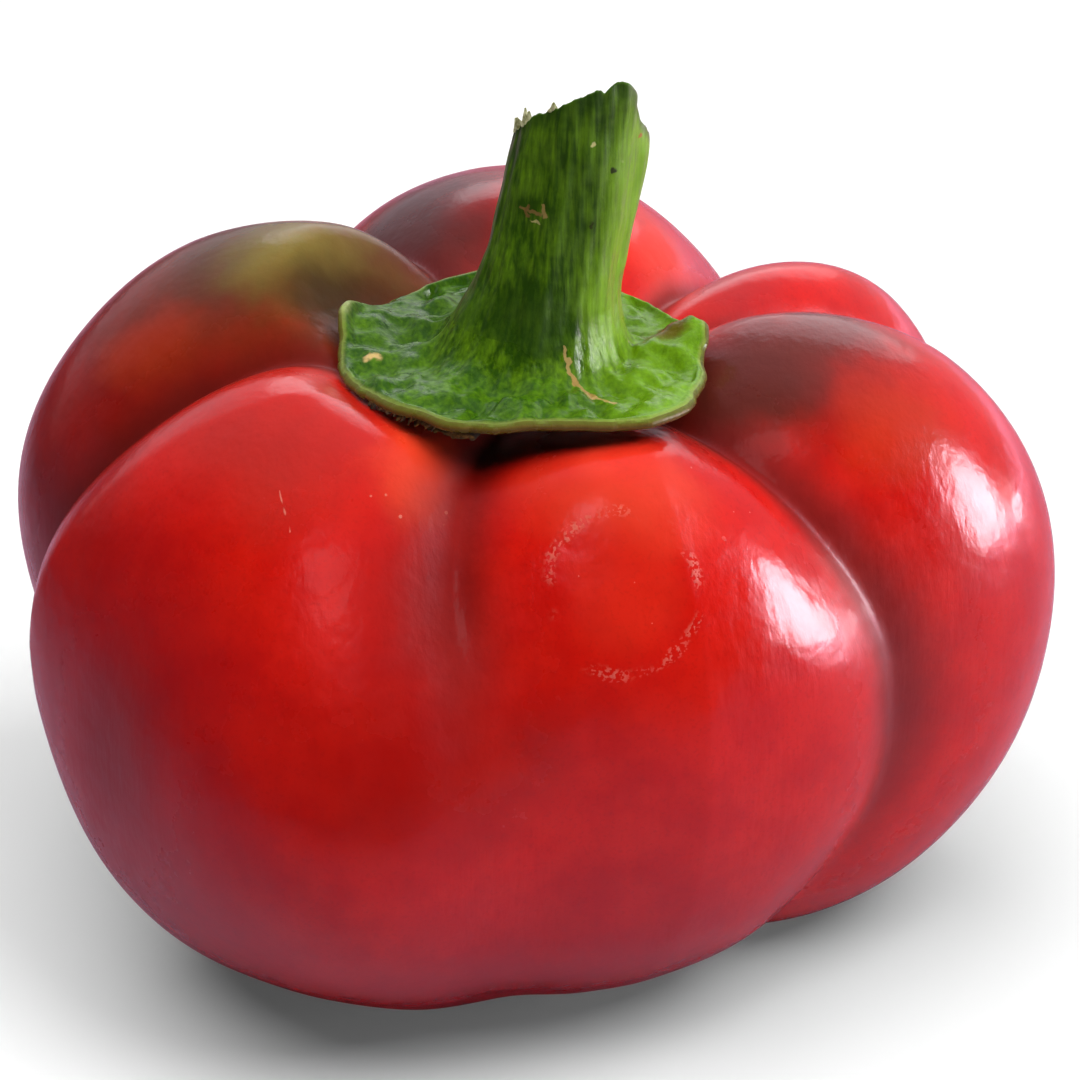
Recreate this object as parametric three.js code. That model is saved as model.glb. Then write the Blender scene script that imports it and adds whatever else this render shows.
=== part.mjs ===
// Pimento pepper: a squat, six-lobed sweet pepper that stands on its own lobes, with its calyx
// and its snapped-off stem. Millimetres and degrees, +Z up. The origin is on the table, under the
// middle of the pepper. -Y is the front, where the two broadest lobes meet in a shallow groove.

import * as THREE from 'three';

const { degToRad, radToDeg, smoothstep } = THREE.MathUtils;

// ---------------------------------------------------------------- driving dimensions

// The fruit is six swollen lobes grown together round a heart on the stem's axis. Each lobe is an
// ellipsoid: its bearing round the axis (0 is +X, 90 is the back), how far out and how high its
// centre is, its half sizes outwards, across and upwards, and how far its top leans outwards.
const LOBES = [
  { name: 'front left', bearing: 196, out: 13.7, up: 29.4, deep: 26.5, wide: 25.8, tall: 30.7, lean: -2.5 },
  { name: 'front right', bearing: 282, out: 7.3, up: 28.3, deep: 20.1, wide: 37.8, tall: 28.5, lean: 3.5 },
  { name: 'right', bearing: 8, out: 19.3, up: 28.9, deep: 26.8, wide: 19.3, tall: 29.4, lean: 4.5 },
  { name: 'back right', bearing: 40, out: 20.8, up: 28.6, deep: 29.5, wide: 14.3, tall: 29.1, lean: 0 },
  { name: 'back', bearing: 92, out: 20.1, up: 30.6, deep: 28.3, wide: 28.6, tall: 31.5, lean: -1 },
  { name: 'left', bearing: 150, out: 16.8, up: 31.2, deep: 29.9, wide: 22.4, tall: 32.0, lean: 1 },
];
const HEART_UP = 32.9;

// Broad swellings of the skin, by their bearing and their height seen from the heart.
const SWELLINGS = [
  { bearing: 175, height: -3, spread: 28, out: 1.7 },
  { bearing: 160, height: 9, spread: 21, out: 0.6 },
  { bearing: 58, height: 41, spread: 24, out: -0.6 },
];

// Between two lobes the skin dips in a crease, which gets shallower towards the bottom.
const CREASE = { depth: 4.2, halfWidth: 5.0, rounding: 0.56, shareAtBottom: 0.35 };

// The two front lobes have all but grown into one, so their crease fades out below the crown.
const FADING_CREASE = { bearing: 247, spread: 26, share: 0.95, goneBelow: -20, wholeAbove: 35 };

// The crown sinks into a round bowl that the calyx sits in. Past its edge the bowl climbs steeply,
// so that it leaves the shoulders of the lobes alone.
const BOWL = { y: -1.5, floorUp: 53.2, rise: 7.5, radius: 19.6, steepness: 4.5, rounding: 1.3 };

// The calyx is a thin, wavy cap round a low hub. The stem's foot stands on the hub.
const CALYX = { y: -1.8, radius: 14.0, under: 55.6, leaf: 1.2, rimLeaf: 0.8, clearance: 0.5 };
const CALYX_TIPS = [
  { bearing: 163, spread: 15, out: 0.7, lift: 2.4 },
  { bearing: 8, spread: 13, out: 0.4, lift: 1.8 },
  { bearing: 80, spread: 32, out: 0.0, lift: 1.0 },
  { bearing: 226, spread: 24, out: -1.3, lift: 0.3 },
  { bearing: 272, spread: 24, out: -0.9, lift: 0.0 },
  { bearing: 320, spread: 20, out: 1.8, lift: 0.0 },
];
const HUB = { x: 1.3, y: -0.5, top: 60.0, foot: 6.9, reach: 11.5, sharpness: 2.6 };

// The stem bends to the right as it climbs, and was snapped off at a slant.
const STEM = { footRadius: 6.6, waistRadius: 5.3, topRadius: 5.2, ribs: 5, ribHeight: 0.3 };
const STEM_TOP = new THREE.Vector3(4.8, 1.0, 75.6);
const SNAP_SLOPE = { right: 0.34, back: -0.45 };
const GAP = 0.3;

// How finely the surfaces are faceted.
const FRUIT_FACETS = { around: 78, down: 44 };
const CALYX_FACETS = 54;
const STEM_FACETS = { around: 28, up: 8 };

// ---------------------------------------------------------------- the fruit's skin

const HEART = new THREE.Vector3(0, 0, HEART_UP);

function pointing(bearing, height = 0) {
  const turn = degToRad(bearing);
  const climb = degToRad(height);
  return new THREE.Vector3(
    Math.cos(turn) * Math.cos(climb), Math.sin(turn) * Math.cos(climb), Math.sin(climb));
}

// 1 where two directions agree, falling to 1/e^2 at twice the spread in degrees.
function closeness(direction, centre, spread) {
  return Math.exp(-2 * (1 - direction.dot(centre)) / degToRad(spread) ** 2);
}

// A lobe's centre seen from the heart, and its three axes divided by its half sizes.
function growLobe({ bearing, out, up, deep, wide, tall, lean }) {
  const outward = pointing(bearing);
  const across = pointing(bearing + 90);
  const tilt = new THREE.Quaternion().setFromAxisAngle(across, degToRad(lean));
  const axes = [
    outward.clone().applyQuaternion(tilt).divideScalar(deep),
    across.clone().divideScalar(wide),
    new THREE.Vector3(0, 0, 1).applyQuaternion(tilt).divideScalar(tall),
  ];
  const centre = outward.clone().multiplyScalar(out).setZ(up - HEART_UP);
  return { axes, centre: inLobeUnits(axes, centre) };
}

function inLobeUnits(axes, vector) {
  return new THREE.Vector3(axes[0].dot(vector), axes[1].dot(vector), axes[2].dot(vector));
}

const lobes = LOBES.map(growLobe);

// How far the heart is from a lobe's outer wall along a direction: a line meeting an ellipsoid.
function reach(lobe, direction) {
  const step = inLobeUnits(lobe.axes, direction);
  const along = step.dot(lobe.centre);
  const length = step.lengthSq();
  return (along + Math.sqrt(along * along - length * (lobe.centre.lengthSq() - 1))) / length;
}

function creaseDepth(direction) {
  const height = radToDeg(Math.asin(THREE.MathUtils.clamp(direction.z, -1, 1)));
  const level = new THREE.Vector3(direction.x, direction.y, 0).normalize();
  const near = closeness(level, pointing(FADING_CREASE.bearing), FADING_CREASE.spread);
  const low = 1 - smoothstep(height, FADING_CREASE.goneBelow, FADING_CREASE.wholeAbove);
  const kept = THREE.MathUtils.lerp(CREASE.shareAtBottom, 1, smoothstep(height, -75, 0));
  return CREASE.depth * kept * (1 - FADING_CREASE.share * near * low);
}

// The skin's distance from the heart: the farthest lobe's wall, dipping where two lobes tie.
function skinRadius(direction) {
  const reaches = lobes.map((lobe) => reach(lobe, direction)).sort((a, b) => b - a);
  const lead = reaches[0] - reaches[1];
  const away = Math.hypot(lead, CREASE.rounding) - CREASE.rounding;
  const dip = creaseDepth(direction) * Math.exp(-away / CREASE.halfWidth);
  return SWELLINGS.reduce(
    (radius, { bearing, height, spread, out }) => (
      radius + out * closeness(direction, pointing(bearing, height), spread)),
    reaches[0] - dip);
}

function softMin(a, b, rounding) {
  return Math.min(a, b) - rounding * Math.log1p(Math.exp(-Math.abs(a - b) / rounding));
}

function skinPoint(direction) {
  const point = direction.clone().multiplyScalar(skinRadius(direction)).add(HEART);
  if (point.z > HEART_UP) {
    const away = Math.hypot(point.x, point.y - BOWL.y) / BOWL.radius;
    point.z = softMin(point.z, BOWL.floorUp + BOWL.rise * away ** BOWL.steepness, BOWL.rounding);
  }
  // The lobes' feet are pressed flat where they stand on the table.
  point.z = Math.max(point.z, 0);
  return point;
}

// The skin's height above the table over a spot near the stem's axis.
function skinHeight(x, y) {
  const wanted = Math.hypot(x, y);
  const bearing = radToDeg(Math.atan2(y, x));
  let steep = 90;
  let shallow = 20;
  let point = skinPoint(pointing(bearing, steep));
  for (let pass = 0; pass < 24; pass += 1) {
    const height = (steep + shallow) / 2;
    point = skinPoint(pointing(bearing, height));
    if (Math.hypot(point.x, point.y) < wanted) {
      steep = height;
    } else {
      shallow = height;
    }
  }
  return point.z;
}

// ---------------------------------------------------------------- geometry helpers

// Moves every vertex of a geometry, and works out its normals again for the new shape.
function reshape(geometry, move) {
  const position = geometry.attributes.position;
  const vertex = new THREE.Vector3();
  for (let index = 0; index < position.count; index += 1) {
    vertex.fromBufferAttribute(position, index);
    const moved = move(vertex, index);
    position.setXYZ(index, moved.x, moved.y, moved.z);
  }
  geometry.computeVertexNormals();
  return geometry;
}

function namedMesh(name, geometry, colour, roughness) {
  const material = new THREE.MeshStandardMaterial({ color: colour, roughness, metalness: 0 });
  const mesh = new THREE.Mesh(geometry, material);
  mesh.name = name;
  return mesh;
}

// ---------------------------------------------------------------- fruit

function fruitGeometry() {
  const ball = new THREE.SphereGeometry(1, FRUIT_FACETS.around, FRUIT_FACETS.down);
  ball.rotateX(Math.PI / 2);
  return reshape(ball, (vertex) => skinPoint(vertex.clone().normalize()));
}

// ---------------------------------------------------------------- calyx

// Adds up what each tip of the rim gives, such as its lift, at a bearing round the calyx.
function fromTips(what, around) {
  return CALYX_TIPS.reduce(
    (sum, tip) => sum + tip[what] * closeness(around, pointing(tip.bearing), tip.spread), 0);
}

function calyxUnderside(x, y, around, fraction) {
  const flat = CALYX.under + fromTips('lift', around) * fraction ** 4;
  return Math.max(flat, skinHeight(x, y) + CALYX.clearance);
}

// The top is the leaf's thickness above the underside, and climbs to the hub in a hollow curve.
function calyxTop(x, y, underside, fraction) {
  const leaf = underside + THREE.MathUtils.lerp(CALYX.leaf, CALYX.rimLeaf, fraction ** 6);
  const fromFoot = Math.hypot(x - HUB.x, y - HUB.y) - HUB.foot;
  const away = THREE.MathUtils.clamp(fromFoot / (HUB.reach - HUB.foot), 0, 1);
  return THREE.MathUtils.lerp(leaf, HUB.top, (1 - away) ** HUB.sharpness);
}

function calyxGeometry() {
  // Shares of the rim's radius: outwards along the underside, then back in over the top. The
  // rings over the top slide from the rim's middle to the hub's.
  const under = [0, 0.35, 0.65, 0.85, 1];
  const over = [0.99, 0.93, 0.86, 0.79, 0.72, 0.65, 0.58];
  const hub = [1, 0.5, 0];
  const profile = [...under, ...over, ...hub].map((share) => new THREE.Vector2(share, 0));
  const lathe = new THREE.LatheGeometry(profile, CALYX_FACETS);
  const lastHubRing = profile.length - hub.length;
  return reshape(lathe, (vertex, index) => {
    const step = index % profile.length;
    const segment = Math.floor(index / profile.length) % CALYX_FACETS;
    const around = pointing((360 * segment) / CALYX_FACETS);
    if (step >= lastHubRing) {
      const radius = HUB.foot * hub[step - lastHubRing];
      return new THREE.Vector3(HUB.x + radius * around.x, HUB.y + radius * around.y, HUB.top);
    }
    const fraction = profile[step].x;
    const radius = fraction * (CALYX.radius + fromTips('out', around));
    const slide = step < under.length ? 0 : (1 - fraction) ** 0.8;
    const x = radius * around.x + slide * HUB.x;
    const y = CALYX.y + radius * around.y + slide * (HUB.y - CALYX.y);
    const underside = calyxUnderside(x, y, around, fraction);
    const top = calyxTop(x, y, underside, fraction);
    return new THREE.Vector3(x, y, step < under.length ? underside : top);
  });
}

// ---------------------------------------------------------------- stem

function stemRadius(climb) {
  const flare = (STEM.footRadius - STEM.waistRadius) * (1 - climb) ** 4;
  return STEM.waistRadius + flare + (STEM.topRadius - STEM.waistRadius) * climb;
}

function stemGeometry() {
  const rod = new THREE.CylinderGeometry(1, 1, 1, STEM_FACETS.around, STEM_FACETS.up);
  rod.rotateX(Math.PI / 2);
  const foot = new THREE.Vector3(HUB.x, HUB.y, HUB.top + GAP);
  // The middle line leans hardest at the foot.
  const bend = foot.clone().lerp(STEM_TOP, 0.5);
  bend.x += 0.5;
  const middle = new THREE.QuadraticBezierCurve3(foot, bend, STEM_TOP);
  return reshape(rod, (vertex) => {
    const climb = vertex.z + 0.5;
    const turn = Math.atan2(vertex.y, vertex.x);
    const edge = Math.min(1, Math.hypot(vertex.x, vertex.y));
    const ribs = STEM.ribHeight * Math.cos(STEM.ribs * turn) * climb;
    const radius = edge * (stemRadius(climb) + ribs);
    const right = radius * Math.cos(turn);
    const behind = radius * Math.sin(turn);
    const slant = climb ** 2 * (SNAP_SLOPE.right * right + SNAP_SLOPE.back * behind);
    return middle.getPoint(climb).add(new THREE.Vector3(right, behind, slant));
  });
}

// ---------------------------------------------------------------- the whole pepper

const pepper = new THREE.Group();
pepper.add(namedMesh('fruit', fruitGeometry(), 0xa31410, 0.25));
pepper.add(namedMesh('calyx', calyxGeometry(), 0x4a6b1c, 0.5));
pepper.add(namedMesh('stem', stemGeometry(), 0x4c7a16, 0.5));

// Stand the pepper with its middle over the origin and its feet on the table.
const extent = new THREE.Box3().setFromObject(pepper);
const middle = extent.getCenter(new THREE.Vector3());
pepper.position.set(-middle.x, -middle.y, -extent.min.z);

export default pepper;
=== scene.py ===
# %% [markdown]
# # A pimento pepper, grown in Blender
# This lesson finishes one real object: a squat red pimento pepper with its green calyx and its
# snapped-off stem, standing on a pale table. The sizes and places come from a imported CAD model,
# called the frame here. Blender adds what an eye looks for: glossy skin, soft creases, patches
# that haven't ripened, a wrinkled calyx and a fibrous stem.

# %% Load the frame
import math
from functools import partial

import bpy
import numpy as np
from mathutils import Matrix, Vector, noise
from mathutils.bvhtree import BVHTree


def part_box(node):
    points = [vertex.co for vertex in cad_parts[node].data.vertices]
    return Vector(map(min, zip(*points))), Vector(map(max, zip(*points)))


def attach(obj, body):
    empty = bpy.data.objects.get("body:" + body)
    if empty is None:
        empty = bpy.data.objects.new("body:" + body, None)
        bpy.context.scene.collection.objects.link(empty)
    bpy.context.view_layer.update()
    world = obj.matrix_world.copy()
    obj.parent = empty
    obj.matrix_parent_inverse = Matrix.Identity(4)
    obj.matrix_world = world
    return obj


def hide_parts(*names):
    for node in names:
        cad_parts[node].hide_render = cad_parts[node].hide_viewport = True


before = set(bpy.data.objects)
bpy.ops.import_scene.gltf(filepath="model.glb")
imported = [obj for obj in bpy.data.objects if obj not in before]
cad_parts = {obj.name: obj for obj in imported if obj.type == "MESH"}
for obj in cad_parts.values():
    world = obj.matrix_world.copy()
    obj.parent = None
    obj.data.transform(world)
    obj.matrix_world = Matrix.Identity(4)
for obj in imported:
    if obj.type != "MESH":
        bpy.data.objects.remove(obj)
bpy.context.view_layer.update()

# %% [markdown]
# ## Units and small tools
# The recipe for the pepper is written in millimetres, because that is how a pepper is measured,
# and Blender works in metres. One number turns one into the other.

# %% Units and bearings
MM = 0.001


def pointing(bearing, height=0.0):
    """A unit vector: bearing 0 is +X and 90 is the back, height is the angle above level."""
    turn, climb = math.radians(bearing), math.radians(height)
    return Vector((math.cos(turn) * math.cos(climb), math.sin(turn) * math.cos(climb), math.sin(climb)))


def hex_to_linear(code):
    """An sRGB hex colour as the linear RGBA that shaders work in."""
    channels = [int(code[i:i + 2], 16) / 255 for i in (1, 3, 5)]
    linear = [c / 12.92 if c <= 0.04045 else ((c + 0.055) / 1.055) ** 2.4 for c in channels]
    return (*linear, 1.0)


print("ripe red in linear light", [round(c, 3) for c in hex_to_linear("#c8140c")])

# %% [markdown]
# ## One function that adds a node
# Shaders and Geometry Nodes are both trees of nodes. This function adds a node, sets its
# settings, and links or sets its inputs, so that a tree reads like a list of steps.

# %% A helper for every node tree
def feed(tree, sockets, values):
    """Links or sets sockets, from a list in socket order or a dict by name."""
    for key, value in values.items() if isinstance(values, dict) else enumerate(values):
        source = value.outputs[0] if isinstance(value, bpy.types.Node) else value
        if isinstance(source, bpy.types.NodeSocket):
            tree.links.new(source, sockets[key])
        else:
            sockets[key].default_value = source


def put(tree, kind, inputs=(), **settings):
    """Adds a node, sets its settings, and fills its inputs. A value may be another node.

    A kind in capitals is a Math operation, or a Vector Math one where it starts with VECTOR."""
    if kind.isupper():
        family, _, settings["operation"] = kind.rpartition(" ")
        kind = "ShaderNodeVectorMath" if family else "ShaderNodeMath"
    node = tree.nodes.new(kind)
    for name, value in settings.items():
        setattr(node, name, value)
    feed(tree, node.inputs, inputs)
    return node


# %% [markdown]
# ## The fruit's rule
# A pepper is a few chambers that swelled side by side round one heart. Each chamber pushes out a
# lobe, and the skin folds in where two lobes meet. So the shape follows a rule: from the heart,
# look in any direction, find how far each lobe's wall is, and take the farthest. Where two lobes
# tie, the skin dips in a crease. Sculpting could give the same shape, but a rule stays editable,
# and it gives every point the numbers that the skin's colour needs, such as how near a crease is.

# %% The lobes, in millimetres and degrees
# Each lobe's bearing, how far out and up its middle is, its half sizes and its lean.
LOBES = {
    "Front left": (196, 13.7, 29.4, (26.5, 25.8, 30.7), -2.5),
    "Front right": (282, 7.3, 28.3, (20.1, 37.8, 28.5), 3.5),
    "Right": (8, 19.3, 28.9, (26.8, 19.3, 29.4), 4.5),
    "Back right": (40, 20.8, 28.6, (29.5, 14.3, 29.1), 0),
    "Back": (92, 20.1, 30.6, (28.3, 28.6, 31.5), -1),
    "Left": (150, 16.8, 31.2, (29.9, 22.4, 32.0), 1),
}
HEART_UP = 32.9
# Each swelling's bearing, height and spread in degrees, and how far it stands out.
SWELLINGS = (
    (175, -3, 28, 1.7), (160, 9, 21, 0.6), (58, 41, 24, -0.6), (176, 12, 16, 1.0),
    (205, -25, 22, 0.9), (2, 8, 22, 0.5), (35, 30, 14, 0.8), (240, -52, 20, -1.7),
    (272, -42, 18, 0.6), (292, 53, 13, 1.7), (62, 30, 12, -0.7), (178, 10, 14, 0.6),
)
SKIN_QUADS = 118
print(len(LOBES), "lobes round a heart", HEART_UP, "mm above the table")

# %% [markdown]
# ## The rule as Geometry Nodes
# The tree starts from a cube with many faces, because a cube blown up to a ball has even squares
# all over and no crowded poles. Its inputs are the pepper's sizes. It also stores how close each
# point is to a crease, which the skin's material reads later.

# %% Start the tree and name its inputs
fruit_tree = bpy.data.node_groups.new("Lobed fruit", "GeometryNodeTree")
grow = partial(put, fruit_tree)
face = fruit_tree.interface
face.new_socket("Geometry", in_out="OUTPUT", socket_type="NodeSocketGeometry")
SIZES = {
    "Heart up": HEART_UP, "Crease depth": 4.2, "Crease half width": 5.0, "Crease rounding": 0.5,
    "Crease share at bottom": 0.15, "Fading crease bearing": 247.0, "Fading crease spread": 26.0,
    "Fading crease share": 0.95, "Bowl middle y": -1.5, "Bowl floor up": 54.2, "Bowl rise": 7.5,
    "Bowl radius": 19.6, "Bowl steepness": 4.5, "Bowl rounding": 1.3, "Foot rounding": 0.5,
    "Waviness": 0.14, "Rib waviness": 0.035, "Blend": 0.1, "Fading blend": 2.6,
}
for name, value in SIZES.items():
    face.new_socket(name, in_out="INPUT", socket_type="NodeSocketFloat").default_value = value
for name, (bearing, out, up, half_sizes, lean) in LOBES.items():
    centre = pointing(bearing) * out
    centre.z = up - HEART_UP
    turn = (0.0, math.radians(lean), math.radians(bearing))
    for part, value in (("centre", centre), ("half sizes", half_sizes), ("turn", turn)):
        socket = face.new_socket(f"{name} {part}", in_out="INPUT", socket_type="NodeSocketVector")
        socket.default_value = value
face.new_socket("Skin", in_out="INPUT", socket_type="NodeSocketMaterial")
sizes = grow("NodeGroupInput").outputs
print(len(face.items_tree) - 1, "named inputs")

# %% [markdown]
# A straight line from the heart meets a lobe's wall where a quadratic equation says. In the
# lobe's own units the wall is a ball of radius one, so the sum is short: two dot products and a
# square root for each lobe. The loop keeps the farthest wall and the runner-up.

# %% Find the two farthest lobe walls
cuts = {f"Vertices {axis}": SKIN_QUADS for axis in "XYZ"}
ball = grow("GeometryNodeMeshCube", {"Size": (2, 2, 2), **cuts})
where = grow("GeometryNodeInputPosition")
# Spreading the cube's lines by a tangent keeps its squares the same size on the ball.
eighth = grow("VECTOR MULTIPLY", [where, (math.pi / 4,) * 3])
evened = grow("VECTOR TANGENT", [eighth])
aim = grow("VECTOR NORMALIZE", [evened])
# The direction is kept on the points, so that it stays the same once they move.
kept = grow("GeometryNodeStoreNamedAttribute", {"Geometry": ball, "Name": "aim", "Value": aim},
            data_type="FLOAT_VECTOR", domain="POINT")
aim = grow("GeometryNodeInputNamedAttribute", {"Name": "aim"}, data_type="FLOAT_VECTOR")


def in_lobe_units(vector, name):
    """Turns a vector into a lobe's own axes and divides it by the lobe's half sizes."""
    turned = grow("ShaderNodeVectorRotate", {"Vector": vector, "Rotation": sizes[f"{name} turn"]},
                  rotation_type="EULER_XYZ", invert=True)
    return grow("VECTOR DIVIDE", [turned, sizes[f"{name} half sizes"]])


def dot(a, b):
    return grow("VECTOR DOT_PRODUCT", [a, b]).outputs["Value"]


farthest, second = 0.0, 0.0
for name in LOBES:
    step = in_lobe_units(aim, name)
    centre = in_lobe_units(sizes[f"{name} centre"], name)
    along, length = dot(step, centre), dot(step, step)
    beyond = grow("MULTIPLY", [length, grow("SUBTRACT", [dot(centre, centre), 1.0])])
    root = grow("SQRT", [grow("SUBTRACT", [grow("MULTIPLY", [along, along]), beyond])])
    wall = grow("DIVIDE", [grow("ADD", [along, root]), length])
    runner_up = grow("MINIMUM", [farthest, wall])
    second = grow("MAXIMUM", [second, runner_up])
    farthest = grow("MAXIMUM", [farthest, wall])

# %% [markdown]
# ## Creases and swellings
# The crease's depth falls away from the tie with an exponential, so the skin bulges right up to
# it, as it does on a real pepper. A small rounding stops it from being a knife cut. The crease
# between the two front lobes fades out as it goes down.

# %% Cut the creases
def closeness(vector, centre, spread):
    """1 where two directions agree, falling off smoothly over a spread in degrees."""
    apart = grow("SUBTRACT", [1.0, dot(vector, centre)])
    width = grow("RADIANS", [spread])
    squared = grow("MULTIPLY", [width, width])
    return grow("EXPONENT", [grow("DIVIDE", [grow("MULTIPLY", [apart, -2.0]), squared])])


def between(tree, value, low, high, at_low=0.0, at_high=1.0):
    """A smooth step from at_low to at_high while the value climbs from low to high."""
    return put(tree, "ShaderNodeMapRange", [value, low, high, at_low, at_high],
               interpolation_type="SMOOTHSTEP")


level = grow("VECTOR NORMALIZE", [grow("VECTOR MULTIPLY", [aim, (1, 1, 0)])])
slope = grow("ShaderNodeSeparateXYZ", [aim])
height = grow("DEGREES", [grow("ARCSINE", [slope.outputs["Z"]])])
bearing = grow("RADIANS", [sizes["Fading crease bearing"]])
fading = grow("ShaderNodeCombineXYZ", [grow("COSINE", [bearing]), grow("SINE", [bearing]), 0.0])
near_fading = closeness(level, fading, sizes["Fading crease spread"])
fade = between(fruit_tree, height, -20.0, 35.0, sizes["Fading crease share"], 0.0)
lost = grow("MULTIPLY", [near_fading, fade])
depth = grow("MULTIPLY", [sizes["Crease depth"], grow("SUBTRACT", [1.0, lost])])
shallow = between(fruit_tree, height, -75.0, 0.0, sizes["Crease share at bottom"], 1.0)
depth = grow("MULTIPLY", [depth, shallow])

lead = grow("SUBTRACT", [farthest, second])
rounding = sizes["Crease rounding"]
squares = [grow("MULTIPLY", [value, value]) for value in (lead, rounding)]
blunt = grow("SQRT", [grow("ADD", squares)])
away = grow("SUBTRACT", [blunt, rounding])
fold = grow("EXPONENT", [grow("DIVIDE", [grow("MULTIPLY", [away, -1.0]), sizes["Crease half width"]])])
# A soft maximum rounds the tie itself, most of all where the crease has faded away.
blend = grow("ADD", [sizes["Blend"], grow("MULTIPLY", [lost, sizes["Fading blend"]])])
tied = grow("EXPONENT", [grow("DIVIDE", [grow("MULTIPLY", [lead, -1.0]), blend])])
fill = grow("MULTIPLY", [blend, grow("LOGARITHM", [grow("ADD", [tied, 1.0]), math.e])])
radius = grow("SUBTRACT", [grow("ADD", [farthest, fill]), grow("MULTIPLY", [depth, fold])])
for turn, climb, spread, rise in SWELLINGS:
    near_middle = closeness(aim, tuple(pointing(turn, climb)), float(spread))
    radius = grow("ADD", [radius, grow("MULTIPLY", [near_middle, rise])])

# %% [markdown]
# ## What no rule makes smooth
# Real skin is never a perfect curve. Slow waves a few centimetres long make the window's
# reflection wander, and fainter upright ones run down the lobes like muscles. Both are only
# tenths of a millimetre, and without them the pepper looks like plastic.

# %% Add slow waves and faint upright ribs
waves = grow("ShaderNodeTexNoise", {"Vector": aim, "Scale": 2.6, "Detail": 0.0})
upright = grow("VECTOR MULTIPLY", [aim, (1.0, 1.0, 0.16)])
ribs = grow("ShaderNodeTexNoise", {"Vector": upright, "Scale": 6.0, "Detail": 0.0})
for texture, amount in ((waves, "Waviness"), (ribs, "Rib waviness")):
    centred = grow("SUBTRACT", [texture, 0.5])
    doubled = grow("MULTIPLY", [centred, grow("MULTIPLY", [sizes[amount], 4.0])])
    radius = grow("ADD", [radius, doubled])

# %% [markdown]
# ## The crown and the feet
# The stem's end holds the crown back while the lobes swell past it, which leaves a round bowl.
# The bowl's height is a steep curve, and a soft minimum joins it to the lobes without an edge.
# The same trick, upside down, presses each foot softly against the table.

# %% Sink the crown and flatten the feet
def soft_least(a, b, rounding, sign=1.0):
    """The smaller of two heights, or the larger with sign -1, with their meeting rounded off."""
    least = grow("MINIMUM" if sign > 0 else "MAXIMUM", [a, b])
    apart = grow("ABSOLUTE", [grow("SUBTRACT", [a, b])])
    falling = grow("EXPONENT", [grow("DIVIDE", [grow("MULTIPLY", [apart, -1.0]), rounding])])
    grown = grow("LOGARITHM", [grow("ADD", [falling, 1.0]), math.e])
    shift = grow("MULTIPLY", [grow("MULTIPLY", [grown, rounding]), sign])
    return grow("SUBTRACT", [least, shift])


spot = grow("VECTOR SCALE", {0: aim, "Scale": radius})
spot = grow("ShaderNodeSeparateXYZ", [spot])
flat_y = grow("SUBTRACT", [spot.outputs["Y"], sizes["Bowl middle y"]])
flat = grow("ShaderNodeCombineXYZ", [spot.outputs["X"], flat_y, 0.0])
out = grow("VECTOR LENGTH", [flat]).outputs["Value"]
share = grow("POWER", [grow("DIVIDE", [out, sizes["Bowl radius"]]), sizes["Bowl steepness"]])
bowl = grow("ADD", [sizes["Bowl floor up"], grow("MULTIPLY", [share, sizes["Bowl rise"]])])
tall = grow("ADD", [spot.outputs["Z"], sizes["Heart up"]])
sunk = soft_least(tall, bowl, sizes["Bowl rounding"])
above = grow("GREATER_THAN", [tall, sizes["Heart up"]])
tall = grow("ShaderNodeMix", {"Factor": above, "A": tall, "B": sunk}, data_type="FLOAT")
stood = soft_least(tall, 0.0, sizes["Foot rounding"], sign=-1.0)
grown = grow("ShaderNodeCombineXYZ", [spot.outputs["X"], spot.outputs["Y"], stood])
in_metres = grow("VECTOR SCALE", {0: grown, "Scale": MM})

# %% Finish the tree
moved = grow("GeometryNodeSetPosition", {"Geometry": kept, "Position": in_metres})
tight = grow("MULTIPLY", [grow("POWER", [fold, 1.6]), grow("DIVIDE", [depth, sizes["Crease depth"]])])
marked = grow("GeometryNodeStoreNamedAttribute", {"Geometry": moved, "Name": "crease", "Value": tight},
              data_type="FLOAT", domain="POINT")
smooth = grow("GeometryNodeSetShadeSmooth", [marked])
real = grow("GeometryNodeRealizeInstances", [smooth])
skinned = grow("GeometryNodeSetMaterial", {"Geometry": real, "Material": sizes["Skin"]})
grow("NodeGroupOutput", [skinned])
print(len(fruit_tree.nodes), "nodes in the fruit's tree")

# %% Grow the fruit and put it where the frame says
def add_object(name, data):
    """A new object in the scene that shows this data."""
    thing = bpy.data.objects.new(name, data)
    bpy.context.scene.collection.objects.link(thing)
    return thing


def grown_mesh(tree, name, inputs, start=None):
    """Runs a tree on a new object, and returns a plain mesh object without the modifier."""
    holder = add_object(name + "_seed", start or bpy.data.meshes.new(name + "_seed"))
    modifier = holder.modifiers.new(name, "NODES")
    modifier.node_group = tree
    sockets = {item.name: item for item in tree.interface.items_tree if item.in_out == "INPUT"}
    for key, socket in sockets.items():
        if key in inputs:
            modifier[socket.identifier] = inputs[key]
        elif socket.socket_type == "NodeSocketFloat":
            modifier[socket.identifier] = float(socket.default_value)
    holder.update_tag()
    ready = holder.evaluated_get(bpy.context.evaluated_depsgraph_get())
    mesh = bpy.data.meshes.new_from_object(ready)
    mesh.name = name
    holder.modifiers.remove(modifier)
    bpy.data.objects.remove(holder)
    return add_object(name, mesh)


def points_of(mesh):
    flat = np.empty(len(mesh.vertices) * 3, np.float32)
    mesh.vertices.foreach_get("co", flat)
    return flat.reshape(-1, 3).astype(float)


pepper_skin = bpy.data.materials.new("Pepper skin")
fruit = grown_mesh(fruit_tree, "pepper_fruit", {"Skin": pepper_skin})
own = points_of(fruit.data)
box_low, box_high = (np.array(corner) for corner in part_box("fruit"))
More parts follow.
